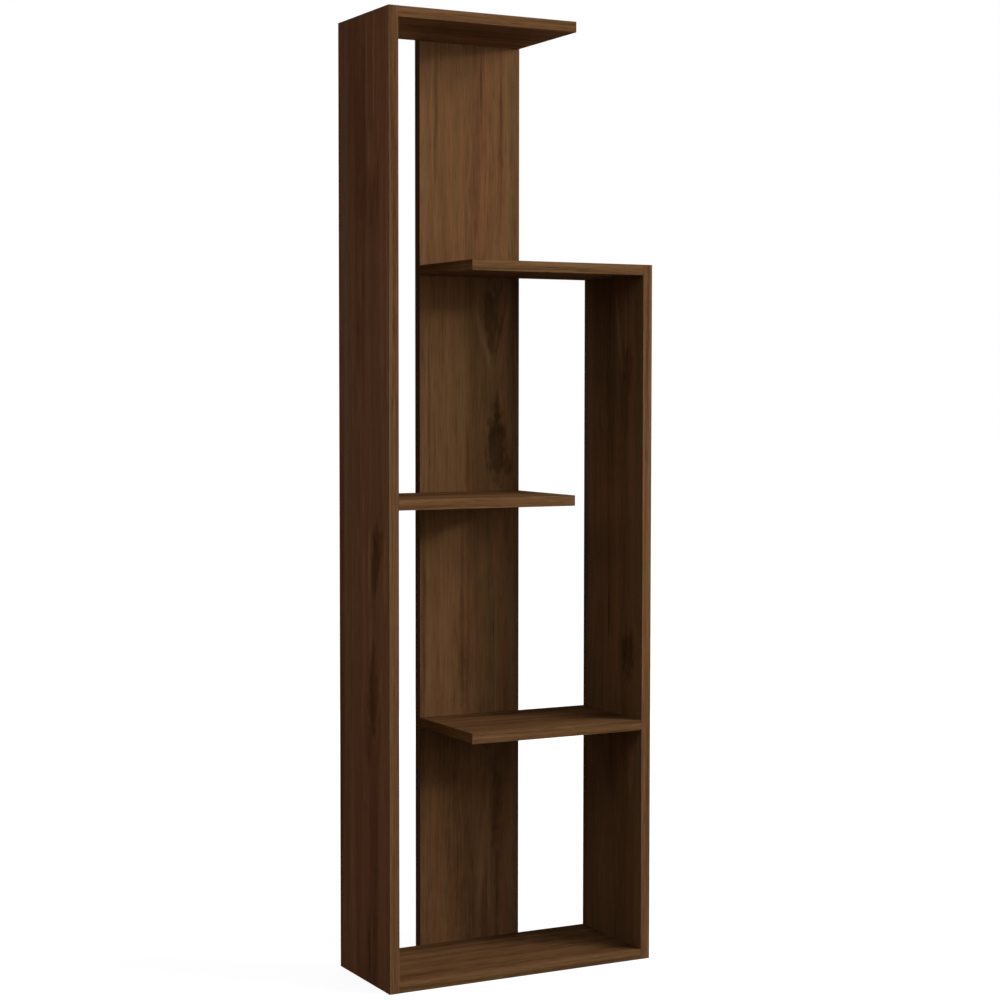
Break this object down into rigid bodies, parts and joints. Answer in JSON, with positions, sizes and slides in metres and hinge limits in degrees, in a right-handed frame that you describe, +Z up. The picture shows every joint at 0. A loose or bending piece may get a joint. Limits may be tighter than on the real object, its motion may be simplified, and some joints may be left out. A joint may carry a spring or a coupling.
{
  "type": "zigzag bookshelf",
  "caption": "Tall narrow open bookshelf: uprights of unequal height, with shelves that reach in turn from the left and the right side to a slim back panel.",
  "frame": {"origin": "on the floor under the middle of the shelf's overall width and depth", "axes": "+X to the viewer's right, +Y to the back and +Z up; the front edges face -Y"},
  "size_m": [0.5, 0.22, 1.6132],
  "materials": {
    "walnut_board": "satin",
    "walnut_edge_band": "satin",
    "cam_zinc": "satin",
    "bolt_steel": "satin",
    "screw_steel": "satin",
    "dowel_beech": "matte",
    "cap_plastic": "matte"
  },
  "bodies": {
    "root": {"back_panel": "walnut_board", "back_panel_dowels": "dowel_beech", "back_panel_left_band": "walnut_edge_band", "back_panel_right_band": "walnut_edge_band", "back_panel_screws": "screw_steel", "back_panel_top_band": "walnut_edge_band", "bottom_panel": "walnut_board", "bottom_panel_cams": "cam_zinc", "bottom_panel_front_band": "walnut_edge_band", "bottom_panel_rear_band": "walnut_edge_band", "left_side_cam_bolts": "bolt_steel", "left_side_dowels": "dowel_beech", "left_side_front_band": "walnut_edge_band", "left_side_panel": "walnut_board", "left_side_rear_band": "walnut_edge_band", "left_side_top_band": "walnut_edge_band", "lower_right_shelf": "walnut_board", "lower_right_shelf_cam_caps": "cap_plastic", "lower_right_shelf_cams": "cam_zinc", "lower_right_shelf_end_band": "walnut_edge_band", "lower_right_shelf_front_band": "walnut_edge_band", "lower_right_shelf_rear_band": "walnut_edge_band", "middle_left_shelf": "walnut_board", "middle_left_shelf_cam_caps": "cap_plastic", "middle_left_shelf_cams": "cam_zinc", "middle_left_shelf_end_band": "walnut_edge_band", "middle_left_shelf_front_band": "walnut_edge_band", "middle_left_shelf_rear_band": "walnut_edge_band", "right_side_cam_bolts": "bolt_steel", "right_side_dowels": "dowel_beech", "right_side_front_band": "walnut_edge_band", "right_side_panel": "walnut_board", "right_side_rear_band": "walnut_edge_band", "right_side_top_band": "walnut_edge_band", "top_shelf": "walnut_board", "top_shelf_cam_caps": "cap_plastic", "top_shelf_cams": "cam_zinc", "top_shelf_end_band": "walnut_edge_band", "top_shelf_front_band": "walnut_edge_band", "top_shelf_rear_band": "walnut_edge_band", "upper_right_shelf": "walnut_board", "upper_right_shelf_cam_caps": "cap_plastic", "upper_right_shelf_cams": "cam_zinc", "upper_right_shelf_end_band": "walnut_edge_band", "upper_right_shelf_front_band": "walnut_edge_band", "upper_right_shelf_rear_band": "walnut_edge_band"}
  },
  "joints": []
}
